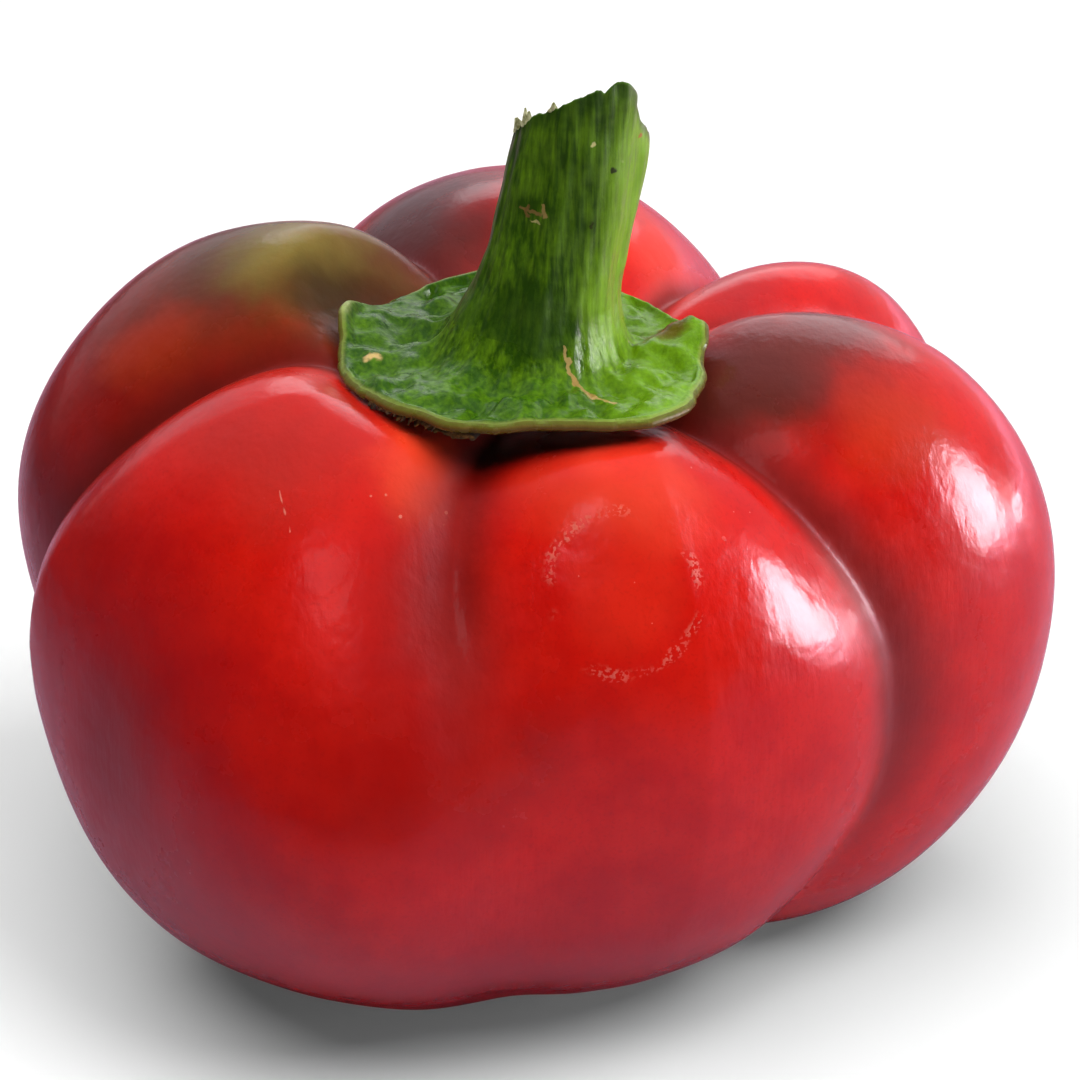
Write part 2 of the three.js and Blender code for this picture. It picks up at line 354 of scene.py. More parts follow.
# The frame's origin is under the pepper's middle, and the recipe's is under its heart.
shift = (box_low + box_high) / 2 - (own.min(0) + own.max(0)) / 2
shift[2] = box_low[2] - own[:, 2].min()
shift = np.array([float(v) for v in shift])
fruit.data.vertices.foreach_set("co", (own + shift).astype(np.float32).ravel())
fruit.data.update()
print("fruit", len(fruit.data.polygons) * 2, "triangles, size in mm",
      np.round((own.max(0) - own.min(0)) / MM, 1), "moved by", np.round(shift / MM, 2))

# %% [markdown]
# ## The stem and the calyx
# The stem flares out into the calyx without a seam, because they grew as one. So both are made
# from one set of rings: from the middle of the snapped end, down the stem, out over the calyx,
# round its rim and back in underneath. Then the rings are split into two closed pieces. Plain
# mesh code suits this better than nodes, because each ring has its own little job.

# %% Sizes of the stem and the calyx, in millimetres
AROUND = 320
STEM_FOOT = np.array([1.55, -0.5, 60.0])
STEM_BEND = np.array([3.5, 0.25, 68.0])
STEM_TIP = np.array([4.9, 1.0, 76.3])
STEM_RADII = dict(foot=6.0, waist=5.35, top=5.3)
SNAP_SLOPE = (0.40, -0.54)
CALYX = dict(y=-1.8, radius=14.0, under=55.6, leaf=1.2, rim_leaf=0.8, clearance=0.12, sharpness=8.5)
# Each tip's bearing and spread in degrees, and how far it stands out and turns up.
TIPS = (
    (163, 13, 0.8, 2.6), (8, 11, 0.5, 2.1), (95, 38, 0.0, 1.5),
    (226, 24, -1.3, 0.3), (276, 30, -1.7, 0.7), (320, 20, 1.5, 0.2),
)
turns = np.arange(AROUND) * 2 * math.pi / AROUND
ring_x, ring_y = np.cos(turns), np.sin(turns)
bearings = np.degrees(turns)
outward = np.stack([ring_x, ring_y, np.zeros(AROUND)], 1)


def near_bearing(bearing, spread):
    """1 at a bearing round the stem, falling off over a spread in degrees."""
    return np.exp(-2 * (1 - np.cos(np.radians(bearings - bearing))) / math.radians(spread) ** 2)


def ease(value, low, high):
    """A smooth step from 0 at low to 1 at high."""
    share = np.clip((np.asarray(value, float) - low) / (high - low), 0, 1)
    return share * share * (3 - 2 * share)


def rough(points, size, seed):
    """Smooth noise of about -1 to 1 at each point, with lumps about as large as size."""
    aside = Vector((seed * 7.3, seed * 3.1, seed))
    return np.array([noise.noise(Vector(p) / size + aside) for p in points])


spacing = round(2 * math.pi * CALYX["radius"] / AROUND, 2)
print(AROUND, "points in each ring, one every", spacing, "mm at the rim")

# %% [markdown]
# The calyx lies in the crown's bowl and follows it. A ray straight down onto the finished fruit
# says how high the skin is under any spot.

# %% Feel for the skin from above
skin_points = [tuple(point) for point in (points_of(fruit.data) - shift) / MM]
feeler = BVHTree.FromPolygons(skin_points, [tuple(f.vertices) for f in fruit.data.polygons])


def skin_under(plan):
    """The height of the fruit's skin below each spot, in millimetres."""
    found = [feeler.ray_cast(Vector((x, y, 90)), Vector((0, 0, -1)))[0] for x, y in plan]
    return np.array([spot.z for spot in found])


print("the skin under the stem is", round(float(skin_under([(1.3, -0.5)])[0]), 1), "mm up")

# %% [markdown]
# ### The stem's side
# The stem has soft upright ribs, where its bundles of fibre run, and one keel that catches the
# light. It leans, and it widens towards its foot, most of all on the left.

# %% Rings of the stem's side, from the snapped rim down
STEM_RINGS = 120
side_climbs = np.linspace(1, 0, STEM_RINGS)


def stem_ring(climb):
    """One ring of the stem's side, at a climb of 0 at its foot and 1 at its snapped end."""
    radius = STEM_RADII["waist"] + (STEM_RADII["foot"] - STEM_RADII["waist"]) * (1 - climb) ** 4.5
    radius = radius + (STEM_RADII["top"] - STEM_RADII["waist"]) * climb
    ribs = 0.16 * np.cos(5 * turns + 0.9) + 0.07 * np.cos(11 * turns + 2.0 * climb)
    ribs = ribs + 0.035 * np.cos(27 * turns + 1.2 * climb)
    keel = 0.42 * near_bearing(-52, 13) - 0.25 * near_bearing(-80, 20) - 0.22 * near_bearing(-22, 16)
    flare = 0.9 * near_bearing(183, 34) * (1 - climb) ** 8
    reach = radius + ribs + keel * ease(climb, -0.2, 0.3) + flare
    reach = reach - 0.55 * ease(ring_x, 0.5, 1.0) * climb ** 8
    middle = (1 - climb) ** 2 * STEM_FOOT + 2 * climb * (1 - climb) * STEM_BEND + climb ** 2 * STEM_TIP
    points = middle + reach[:, None] * outward
    slant = (SNAP_SLOPE[0] * ring_x + SNAP_SLOPE[1] * ring_y) * reach
    shoulder = 4.2 * np.clip((ring_x - 0.42) / 0.58, 0, 1) ** 2
    points[:, 2] += (slant - shoulder) * climb ** 2.2
    strands = rough(points * np.array([1.0, 1.0, 0.12]), 0.55, 1)
    dents = rough(points, 3.2, 2)
    return points + outward * (0.035 * strands + 0.15 * dents)[:, None]


side = [stem_ring(climb) for climb in side_climbs]
print("the stem is", round(float(np.ptp(side[60][:, 0])), 1), "mm wide half way up")

# %% [markdown]
# ### The snapped end
# Green stems don't cut clean, they snap: the rind tears in a ragged line and the pith inside
# sinks back. The rings of the end go from the torn rim inwards, and noise tears them.

# %% Rings of the snapped end, from its middle out to the rim
TORN_RINGS = 14
torn = rough(outward * 5, 0.8, 3) * 0.22 + rough(outward * 5, 0.25, 4) * 0.13
torn = torn * (1 - 0.9 * ease(ring_x, 0.4, 0.6)) + 0.15 * near_bearing(-61, 8) - 0.35 * near_bearing(-74, 5)
for row in range(TORN_RINGS):
    side[row][:, 2] += torn * (1 - row / TORN_RINGS) ** 1.5
rim = side[0]
end = []
for share in np.linspace(0.03, 0.97, 26):
    points = rim * share + rim.mean(0) * (1 - share)
    sunk = 1.3 * ease(1 - share, 0.02, 0.22) + 0.7 * ease(1 - share, 0.3, 0.9)
    pith = 0.30 * rough(points, 0.7, 5) + 0.22 * rough(points, 0.3, 6)
    points[:, 2] += pith * ease(1 - share, 0.0, 0.12) - sunk
    end.append(points)
print("the snapped rim is between", *np.round([rim[:, 2].min(), rim[:, 2].max()], 1), "mm up")

# %% [markdown]
# ### The calyx
# Five sepals grew together into a saucer. It is thick and wrinkled, with a pale lip, and two of
# its tips turn up. Each ring slides from the stem's foot out to the rim.

# %% Rings over the calyx, round its rim and back underneath
CALYX_MIDDLE = np.array([0.0, CALYX["y"]])
leaf_out = sum(out * near_bearing(bearing, spread) for bearing, spread, out, _ in TIPS)
leaf_lift = sum(lift * near_bearing(bearing, spread) for bearing, spread, _, lift in TIPS)
wobble = rough(outward * 14, 3.0, 7)
rim_reach = CALYX["radius"] + leaf_out + 0.45 * wobble + 0.15 * rough(outward * 14, 0.9, 11)
rim_plan = CALYX_MIDDLE + rim_reach[:, None] * outward[:, :2]
foot_ring = side[-1]


def leaf_under(plan):
    """The calyx's underside: it spans the creases and lies close over the lobes."""
    share = np.clip(np.hypot(*(plan - CALYX_MIDDLE).T) / rim_reach, 0, 1)
    return np.maximum(CALYX["under"] + leaf_lift * share ** 4, skin_under(plan) + CALYX["clearance"]), share


def leaf_ring(run):
    """A ring over the calyx's top, with a run of 0 at the stem's foot and 1 at the rim."""
    plan = foot_ring[:, :2] * (1 - run) + rim_plan * run
    under, share = leaf_under(plan)
    leaf = under + CALYX["leaf"] + (CALYX["rim_leaf"] - CALYX["leaf"]) * share ** 6
    top = leaf + (foot_ring[:, 2] - leaf) * (1 - run) ** (CALYX["sharpness"] + 8 * near_bearing(-12, 38))
    points = np.column_stack([plan, top])
    fade = ease(run, 0.0, 0.25) * (1 - ease(run, 0.88, 0.98))
    veins = 0.26 * np.cos(5 * turns + 0.9) + 0.10 * np.cos(13 * turns + 4 * run)
    radial = np.column_stack([9 * ring_x, 9 * ring_y, np.full(AROUND, 3.0 * run)])
    folds = 0.85 * rough(radial, 2.2, 12) + 0.42 * rough(radial, 0.9, 13)
    wrinkles = 0.68 * rough(points, 2.6, 8) + 0.26 * rough(points, 1.3, 9) + 0.04 * rough(points, 0.5, 10)
    lip = np.exp(-((run - 0.95) / 0.035) ** 2)
    points[:, 2] += (veins + folds + wrinkles) * fade + 0.16 * lip * (1 + 0.8 * wobble)
    return points


over = [leaf_ring(run) for run in 1 - (1 - np.linspace(0, 1, 96)[1:]) ** 1.1]
# The stem's foot is eased into the leaf, ring by ring, so that no line shows between them.
joined = np.array([*side, *over])
easing = 0.5 * np.exp(-((np.arange(len(joined)) - len(side)) / 9.0) ** 2)[1:-1, None, None]
for _ in range(160):
    joined[1:-1] += ((joined[:-2] + joined[2:]) / 2 - joined[1:-1]) * easing
side, over = list(joined[:len(side)]), list(joined[len(side):])
rim_under, _ = leaf_under(rim_plan)
rounded = []
for step in np.linspace(0.15, 1.0, 7):
    bulge = 0.30 * math.sin(math.pi * step) * outward
    lowered = over[-1] + bulge
    lowered[:, 2] += (rim_under - over[-1][:, 2]) * step
    rounded.append(lowered)
below = []
for share in np.linspace(0.96, 0.05, 30):
    plan = CALYX_MIDDLE + (rim_plan - CALYX_MIDDLE) * share
    below.append(np.column_stack([plan, leaf_under(plan)[0]]))
print("the calyx is", round(float(np.ptp(rim_plan[:, 0])), 1), "mm wide, with", len(over), "rings on top")

# %% [markdown]
# ### Two closed pieces
# Each piece borrows one ring from its neighbour, pushed in by a few hundredths of a millimetre.
# So the shading runs on smoothly where they meet. The first and last rings are closed with a
# point. One attribute tells the material how far a ring is from the torn end to the rim.

# %% Skin the rings
def skinned_rings(name, rings, runs):
    """A closed mesh through rings, with a point at each end, and each ring's run as an attribute."""
    points = np.concatenate([[rings[0].mean(0)], *rings, [rings[-1].mean(0)]]) * MM + shift
    faces, last = [], len(points) - 1
    for row in range(len(rings)):
        for spot in range(AROUND):
            here, after = 1 + row * AROUND + spot, 1 + row * AROUND + (spot + 1) % AROUND
            if row == 0:
                faces.append((0, here, after))
            if row < len(rings) - 1:
                faces.append((here, here + AROUND, after + AROUND, after))
            else:
                faces.append((here, last, after))
    mesh = bpy.data.meshes.new(name)
    mesh.from_pydata([tuple(p) for p in points], [], faces)
    values = np.repeat(runs, AROUND)
    values = np.concatenate([values[:1], values, values[-1:]]).astype(np.float32)
    mesh.attributes.new("run", "FLOAT", "POINT").data.foreach_set("value", values)
    mesh.shade_smooth()
    return add_object(name, mesh)


TUCK = 0.004
tucked_over = [over[row] - np.array([0, 0, TUCK * (row + 1) ** 2]) for row in range(4)]
deep = over[1] * np.array([1, 1, 0]) * 0.7 + np.array([*0.3 * STEM_FOOT[:2], 58.4])
stem_rings = [*end, *side, *tucked_over, deep]
runs = np.concatenate([np.linspace(-0.3, 0, len(end)), 1 - side_climbs, np.ones(5)])
stem = skinned_rings("pepper_stem", stem_rings, runs)
tucked_side = [side[-1 - row] - outward * TUCK * row ** 2 for row in (4, 3, 2, 1)]
hidden = side[-6] * np.array([0.6, 0.6, 1]) + np.array([*0.4 * STEM_FOOT[:2], -1.0])
calyx_rings = [hidden, *tucked_side, side[-1], *over, *rounded, *below]
runs = np.concatenate([np.zeros(6), np.linspace(0, 1, len(over)), np.linspace(1, 1.2, len(rounded)),
                       np.full(len(below), 1.4)])
calyx = skinned_rings("pepper_calyx", calyx_rings, runs)
for piece in (stem, calyx):
    print(piece.name, "has", sum(len(f.vertices) - 2 for f in piece.data.polygons), "triangles")

# %% [markdown]
# ## The skin
# A ripe pepper's skin is a waxy clear layer over red flesh. The eye reads the wax from sharp
# bright reflections with slightly streaky edges, and the flesh from a deep colour that glows a
# little. Patches that sat in the shade of a leaf stay olive or brown, most of all on the crown.
# Painting an image would do, but patches placed in millimetres keep their size at any distance.

# %% Patterns measured in millimetres
def place_in_mm(tree):
    """A point of the surface in the recipe's own millimetres, from Object coordinates."""
    spot = put(tree, "ShaderNodeTexCoord").outputs["Object"]
    moved = put(tree, "VECTOR SUBTRACT", [spot, tuple(shift)])
    return put(tree, "VECTOR SCALE", {0: moved, "Scale": 1 / MM})


def lumps(tree, place, size, detail=2.0, stretch=(1, 1, 1)):
    """Noise from 0 to 1 with lumps about as large as size, in millimetres, and drawn out by stretch."""
    scaled = put(tree, "VECTOR MULTIPLY", [place, tuple(1 / s for s in stretch)])
    return put(tree, "ShaderNodeTexNoise",
        {"Vector": scaled, "Scale": 1 / size, "Detail": detail, "Roughness": 0.55})


def blob(tree, place, centre, radii, strength=1.0, core=0.2):
    """Strength near a centre, fading to 0 at the radii."""
    apart = put(tree, "VECTOR SUBTRACT", [place, centre])
    apart = put(tree, "VECTOR DIVIDE", [apart, radii])
    far = put(tree, "VECTOR LENGTH", [apart]).outputs["Value"]
    return between(tree, far, core, 1.0, strength, 0.0)


def tint(tree, amount, colour, code):
    """Mixes a hex colour into a colour by an amount."""
    first, second = (hex_to_linear(part) if isinstance(part, str) else part for part in (colour, code))
    return put(tree, "ShaderNodeMix", {0: amount, 6: first, 7: second}, data_type="RGBA").outputs[2]


def near_line(tree, place, start, end, width):
    """1 within a width of the straight line between two points, and 0 beyond it."""
    start, end = Vector(start), Vector(end)
    line = end - start
    apart = put(tree, "VECTOR SUBTRACT", [place, tuple(start)])
    along = put(tree, "VECTOR DOT_PRODUCT", [apart, tuple(line)]).outputs["Value"]
    share = put(tree, "DIVIDE", [along, line.length_squared], use_clamp=True)
    nearest = put(tree, "VECTOR SCALE", {0: tuple(line), "Scale": share})
    off = put(tree, "VECTOR DISTANCE", [apart, nearest]).outputs["Value"]
    return between(tree, off, width * 0.6, width, 1.0, 0.0)


def fresh_material(name):
    """A material with only its output and a Principled shader."""
    material = bpy.data.materials.get(name) or bpy.data.materials.new(name)
    material.use_nodes = True
    return material, material.node_tree, material.node_tree.nodes["Principled BSDF"].inputs


print("patterns are measured from", np.round(shift / MM, 2), "mm off the frame's origin")

# %% Patches, with centres and radii in millimetres
RIPE_RED, DEEP_RED, BRIGHT_RED = "#cf1208", "#a90b07", "#dc1a0c"
# Most patches are the skin's own colour. The ones marked below are painted light, painted shade and a
# painted reflection.
PATCHES = (
    ("wine flank, front left", (-30, -16, 26), (26, 24, 30), "#a3121f", 0.75),
    ("wine underside, front lobes", (4, -26, 8), (36, 20, 19), "#a10f1f", 0.7),
    ("dark red, left", (-30, 10, 42), (23, 26, 29), "#6c160e", 0.9),
    ("brown crown, left", (-20, 10, 58), (23, 18, 14), "#4c3014", 0.97),
    ("olive crown, left", (-15, 8.5, 60.5), (14, 11, 6), "#8a7a34", 0.8),
    ("brown inner side, left", (-13, 4.5, 57), (10, 9, 8), "#3f2a10", 0.95),
    ("red front, left", (-31, 4, 54), (7, 6, 5.5), "#b0300f", 0.7),
    ("brown at the left crease", (-26, -2, 44), (9, 5, 13), "#5f150d", 0.6),
    ("maroon back", (-9, 21, 58), (16, 17, 14), "#50201a", 1.0),
    # Painted light: the back is painted brighter orange on its right, where the window light falls.
    ("painted light at the back", (14, 17, 56), (9, 9, 8), "#ff3f22", 0.6),
    ("brown inside the right", (18, -2.5, 55), (14.5, 10, 9), "#55241a", 0.95),
    ("brown ridge, right", (25, 1.5, 57.5), (17, 8, 6), "#64281e", 0.88),
    ("orange shoulder, right", (30, -3.5, 51), (8, 6, 5), "#b53a16", 0.5),
    ("muted crown, front left", (-18, -13, 54.5), (13, 11, 8), "#a82a20", 0.6),
    # Painted light: the crown next to the calyx is painted brighter, where the calyx would shade it.
    ("painted light on the front crown", (-7.5, -14, 53), (6, 6, 5), "#f04a28", 0.7),
    ("painted light on the front right crown", (8, -16, 52), (11, 7, 6), "#f04a30", 0.6),
    ("rose crown, back right", (18, 13, 56), (8, 7, 6), "#9c2a2e", 0.6),
    # Painted reflection: a violet sheen painted into the skin low on the left.
    ("painted violet sheen low on the left", (-39, 4, 38), (10, 12, 13), "#7e3440", 0.5),
    # Painted shade: the groove between the front lobes is painted darker.
    ("painted shade between the front lobes", (-7, -27, 35), (15, 13, 15), "#8a0c0a", 0.6),
    ("corky blossom end", (0, 0, 2.5), (3.0, 3.0, 6.0), "#6b4a24", 0.9),
    # Painted shade: the pit at the top of the front crease is painted dark.
    ("painted shade in the front crease pit", (-2.6, -9.7, 51.5), (4.0, 4.0, 3.5), "#4c150c", 0.8),
)
print(len(PATCHES), "patches of own colour, painted light and painted shade")

# %% [markdown]
# The colour starts as ripe red with soft mottling. Each patch is mixed in with a border that
# noise pushes about, so that none looks like a stamp.

# %% Colour the skin
# Pepper skin: a clear wax over red flesh. It gives the eye hard highlights on a deep, warm red.
pepper_skin, skin, skin_inputs = fresh_material("Pepper skin")
paint = partial(put, skin)
place = place_in_mm(skin)
wander = lumps(skin, place, 9.0, 3.0)
centred = paint("VECTOR SUBTRACT", [wander.outputs["Color"], (0.5, 0.5, 0.5)])
pushed = paint("VECTOR SCALE", {0: centred, "Scale": 9.0})
warped = paint("VECTOR ADD", [place, pushed])
mottle = between(skin, lumps(skin, place, 5.0, 4.0), 0.35, 0.65)
colour = tint(skin, mottle, RIPE_RED, BRIGHT_RED)
streaks = lumps(skin, place, 1.6, 3.0, stretch=(1, 1, 6))
colour = tint(skin, between(skin, streaks, 0.45, 0.75, 0.0, 0.12), colour, DEEP_RED)
grain = lumps(skin, place, 0.3, 2.0)
colour = tint(skin, between(skin, grain, 0.5, 0.75, 0.0, 0.25), colour, DEEP_RED)
for name, centre, radii, code, strength in PATCHES:
    colour = tint(skin, blob(skin, warped, centre, radii, strength), colour, code)
crease = paint("ShaderNodeAttribute", attribute_name="crease").outputs["Fac"]
# Painted shade: the skin is painted darker the nearer it is to a crease.
colour = tint(skin, between(skin, crease, 0.5, 1.0, 0.0, 0.7), colour, "#56100a")

# %% [markdown]
# ### Marks of handling
# A drop of water dried on the front lobe and left a broken ring. There are pale specks, a fine
# scratch and a dark dot. Each is a fraction of a millimetre, yet they say that this one is real.

# %% Mark the skin
RING_CENTRE, RING_RADIUS = (7.6, -20.8, 46.3), 6.0
shaky = paint("VECTOR SCALE", {0: centred, "Scale": 4.0})
from_ring = paint("VECTOR DISTANCE", [paint("VECTOR ADD", [place, shaky]), RING_CENTRE])
off_ring = paint("ABSOLUTE", [paint("SUBTRACT", [from_ring.outputs["Value"], RING_RADIUS])])
broken = paint("MULTIPLY", [
    between(skin, lumps(skin, place, 0.32, 1.0), 0.48, 0.60),
    between(skin, lumps(skin, place, 4.0, 1.0), 0.42, 0.62)])
ring = paint("MULTIPLY", [between(skin, off_ring, 0.10, 0.7, 0.8, 0.0), broken])
dots = paint("ShaderNodeTexVoronoi", {"Vector": place, "Scale": 1 / 1.1, "Randomness": 1.0})
dot_luck = paint("ShaderNodeSeparateColor", [dots.outputs["Color"]])
speck = paint("LESS_THAN", [dots.outputs["Distance"], between(skin, dot_luck, 0.55, 1.0, 0.0, 0.16)])
dusty = paint("ADD", [
    blob(skin, place, (15.5, -13, 50.3), (6, 5, 4), 1.0, 0.5),
    blob(skin, place, (-9, -16.5, 51.5), (5, 4, 3), 1.0, 0.5)])
in_ring = between(skin, from_ring.outputs["Value"], RING_RADIUS - 0.8, RING_RADIUS, 0.9, 0.0)
speck = paint("MULTIPLY", [speck, paint("ADD", [dusty, in_ring])])
scratch = near_line(skin, paint("VECTOR ADD", [place, shaky]),
                    (-17.8, -16.7, 53.0), (-17.0, -18.9, 50.8), 0.10)
pale = paint("MAXIMUM", [paint("MAXIMUM", [ring, speck]), scratch])
# Inside the ring the skin is painted a little brighter: a painted glow of the soft front light, over the
# dried stain.
painted_ring_glow = between(skin, from_ring.outputs["Value"], RING_RADIUS - 3.0, RING_RADIUS, 0.16, 0.0)
colour = tint(skin, painted_ring_glow, colour, "#e8452c")
colour = tint(skin, paint("MULTIPLY", [pale, 0.40]), colour, "#f2a48c")
colour = tint(skin, blob(skin, place, (-34.0, 1.7, 44.5), (0.45, 0.45, 0.45), 0.9), colour, "#2a0a06")
feed(skin, skin_inputs, {"Base Color": colour})

# %% Shine and fine relief of the skin
shine = between(skin, lumps(skin, place, 2.2, 4.0), 0.3, 0.7, 0.19, 0.26)
shine = paint("ADD", [shine, paint("MULTIPLY", [pale, 0.25])])
# A crease is never rubbed clean, so it stays duller than the lobes.
shine = paint("ADD", [shine, between(skin, crease, 0.25, 0.9, 0.0, 0.22)])
# The skin that touches the calyx lost its wax, so it hardly shines.
waxless = blob(skin, warped, (-14, 6, 58), (14, 12, 10), 0.42)
feed(skin, skin_inputs, {
    "Roughness": shine, "IOR": 1.45, "Specular IOR Level": paint("SUBTRACT", [0.5, waxless]),
    "Specular Tint": (1.0, 0.78, 0.95, 1.0),
    "Coat Weight": 0.15, "Coat Roughness": 0.06, "Coat IOR": 1.45,
    "Subsurface Weight": 0.12, "Subsurface Radius": (1.0, 0.12, 0.06), "Subsurface Scale": 1.6 * MM})


def relief(tree, *layers):
    """Stacks bump layers. Each is a height from 0 to 1 and how high 1 is, in millimetres."""
    normal = None
    for height, tall in layers:
        inputs = {"Strength": 1.0, "Distance": tall * MM, "Height": height}
        if normal is not None:
            inputs["Normal"] = normal
        normal = put(tree, "ShaderNodeBump", inputs)
    return normal


layers = (
    (lumps(skin, place, 3.2, 2.0), 0.10),
    (lumps(skin, place, 0.6, 3.0, stretch=(1, 1, 6)), 0.030),
    (lumps(skin, place, 0.4, 2.0), 0.006), (pale, 0.01),
)
skin_relief = relief(skin, *layers)
feed(skin, skin_inputs, {"Normal": skin_relief, "Coat Normal": skin_relief})
print(len(skin.nodes), "nodes in the skin's material")

# %% [markdown]
# ## The green parts
# Stem and calyx are the same plant rind, so one function makes both finishes. It is less glossy
# than the fruit and streaked along its fibres. An attribute that runs from the snapped end to the
# rim says where the pale lip, the torn pith and the brown underside are.

# %% The rind's recipe
STEM_LEAN = 0.22
# The rind's darker and paler greens, which also serve as its painted shade and painted light.
RIND_DARK_AND_PAINTED_SHADE, RIND_PALE_AND_PAINTED_LIGHT = "#2c4c08", "#8cbe16"


def rind(name, bands, marks, lines, gloss_range, in_plan):
    """A green finish: painted shade to painted light by side, with the rind's own streaks and noise, then
    bands by run, and marks in millimetres.
    """
    # Plant rind: waxy but ribbed, which gives the eye a broken, milky gloss on the edges.
    material, tree, inputs = fresh_material(name)
    place = place_in_mm(tree)
    run = put(tree, "ShaderNodeAttribute", attribute_name="run").outputs["Fac"]
    streaks = lumps(tree, place, 0.38, 3.0, stretch=(1, 1, 18))
    clouds = lumps(tree, place, 2.4, 4.0)
    spot = put(tree, "ShaderNodeSeparateXYZ", [place])
    at_origin = STEM_FOOT[0] - STEM_LEAN * STEM_FOOT[2]
    axis = put(tree, "MULTIPLY_ADD", [spot.outputs["Z"], STEM_LEAN, at_origin])
    # The side towards the window is painted lighter, a painted light that starts at the keel and widens
    # where the stem opens into the calyx.
    widened = put(tree, "MULTIPLY_ADD", [spot.outputs["Z"], -1.2, 4.2 + 1.2 * 62])
    painted_lit_edge = put(tree, "MAXIMUM", [widened, 4.2])
    aside = put(tree, "SUBTRACT", [spot.outputs["X"], axis])
    right = between(tree, aside, 1.2, painted_lit_edge, 0.05, 0.68)
    mix = put(tree, "ADD", [right, put(tree, "SUBTRACT", [streaks, 0.45])])
    cloudy = put(tree, "MULTIPLY", [put(tree, "SUBTRACT", [clouds, 0.45]), 0.8])
    mixed = put(tree, "ADD", [mix, cloudy], use_clamp=True)
    colour = tint(tree, mixed, RIND_DARK_AND_PAINTED_SHADE, RIND_PALE_AND_PAINTED_LIGHT)
    frayed = put(tree, "ADD", [run, put(tree, "MULTIPLY", [put(tree, "SUBTRACT", [clouds, 0.5]), 0.06])])
    for start, full, code, strength in bands:
        colour = tint(tree, between(tree, frayed, start, full, 0.0, strength), colour, code)
    jitter = put(tree, "VECTOR SUBTRACT", [lumps(tree, place, 0.8, 2.0).outputs["Color"], (0.5,) * 3])
    shaky = put(tree, "VECTOR ADD", [place, jitter])
    for centre, radii, code, strength in marks:
        colour = tint(tree, blob(tree, shaky, centre, radii, strength, 0.5), colour, code)
    # A line on the flat leaf is measured in plan, so it follows every wrinkle.
    shaky = put(tree, "VECTOR MULTIPLY", [shaky, (1, 1, 0 if in_plan else 1)])
    for start, stop, width, code, strength in lines:
        on_line = put(tree, "MULTIPLY", [near_line(tree, shaky, start, stop, width), strength])
        colour = tint(tree, on_line, colour, code)
    fibres = lumps(tree, place, 0.45, 2.0, stretch=(1, 1, 12))
    grain = lumps(tree, place, 0.35, 3.0)
    feed(tree, inputs, {
        "Base Color": colour, "Roughness": between(tree, clouds, 0.35, 0.65, *gloss_range),
        "Normal": relief(tree, (clouds, 0.14), (fibres, 0.06), (grain, 0.025)),
        "IOR": 1.40, "Specular IOR Level": 0.42,
        "Subsurface Weight": 0.10, "Subsurface Radius": (0.4, 0.7, 0.1), "Subsurface Scale": 1.0 * MM})
    return material


STEM_BANDS = (
    (0.09, 0.02, "#24400e", 0.6), (0.012, -0.004, "#3d5a12", 0.9),
    (-0.010, -0.03, "#c9c48a", 0.9), (-0.10, -0.2, "#a98f55", 0.7),
)
STEM_MARKS = (
    # Painted shade where the stem's foot meets the calyx, in front and on the left.
    ((0.0, -6.5, 61.6), (6.0, 4.0, 4.2), "#23400a", 0.7),
    ((-4.5, -2.0, 62.0), (3.0, 4.0, 4.0), "#2a4a0c", 0.5),
    ((5.4, -4.3, 75.3), (0.28, 0.5, 0.28), "#d8cf8e", 0.9),
    ((7.0, -3.9, 73.1), (0.25, 0.5, 0.28), "#1c1c06", 0.9),
    ((5.3, -4.9, 68.9), (0.2, 0.5, 0.4), "#2a2a08", 0.8),
    ((9.1, -1.1, 74.7), (0.4, 0.5, 0.3), "#b4682a", 0.9),
)
STEM_LINES = (
    ((0.2, -3.6, 69.9), (1.9, -4.4, 69.6), 0.22, "#8a6a3a", 0.85),
    ((0.5, -3.8, 70.4), (0.6, -3.8, 69.3), 0.20, "#7a5a30", 0.85),
    ((1.7, -4.3, 70.3), (2.1, -4.5, 69.1), 0.24, "#a58650", 0.85),
    ((0.7, -4.0, 69.1), (1.9, -4.5, 68.9), 0.14, "#c8b47c", 0.7),
)
stem_rind = rind("Stem rind", STEM_BANDS, STEM_MARKS, STEM_LINES, (0.30, 0.50), False)
CALYX_BANDS = (
    (0.0, 0.30, "#2c5a0e", 0.36),
    (0.93, 0.985, "#8f9648", 0.55), (0.99, 1.0, "#5c571a", 0.85),
    (1.0, 1.05, "#6b5120", 0.85), (1.15, 1.3, "#4a2c12", 1.0),
)
CALYX_MARKS = (
    # Painted shade on the calyx in front of the stem's foot.
    ((0.5, -7.2, 60.3), (6.0, 3.0, 2.0), "#23400a", 0.7),
    ((-13.5, 1.5, 59.8), (2.4, 2.4, 1.6), "#a3ad68", 0.7),
    ((11.6, 0.3, 57.9), (2.6, 1.8, 1.6), "#6a4a1c", 0.8),
    ((-11.6, -2.7, 56.8), (0.95, 0.5, 0.8), "#d9b678", 0.9),
)
CALYX_LINES = (
    ((3.4, -6.6, 0), (4.0, -7.5, 0), 0.20, "#b99a60", 0.8),
    ((4.0, -7.5, 0), (5.6, -8.7, 0), 0.26, "#a8844a", 0.8),
    ((5.6, -8.7, 0), (7.2, -9.7, 0), 0.18, "#b99a60", 0.8),
)
calyx_leaf = rind("Calyx leaf", CALYX_BANDS, CALYX_MARKS, CALYX_LINES, (0.22, 0.44), True)
stem.data.materials.append(stem_rind)
calyx.data.materials.append(calyx_leaf)
print("materials", [m.name for m in bpy.data.materials if m.users])

# %% [markdown]
# ## Torn fibres and papery shreds
# Where the stem snapped, loose fibres stand up along the rim. Under the front of the calyx a
# brown papery skin has torn. Both are many small slivers along a line, which Geometry Nodes place
# with one seed: a tapered sliver on each point, turned and sized at random.

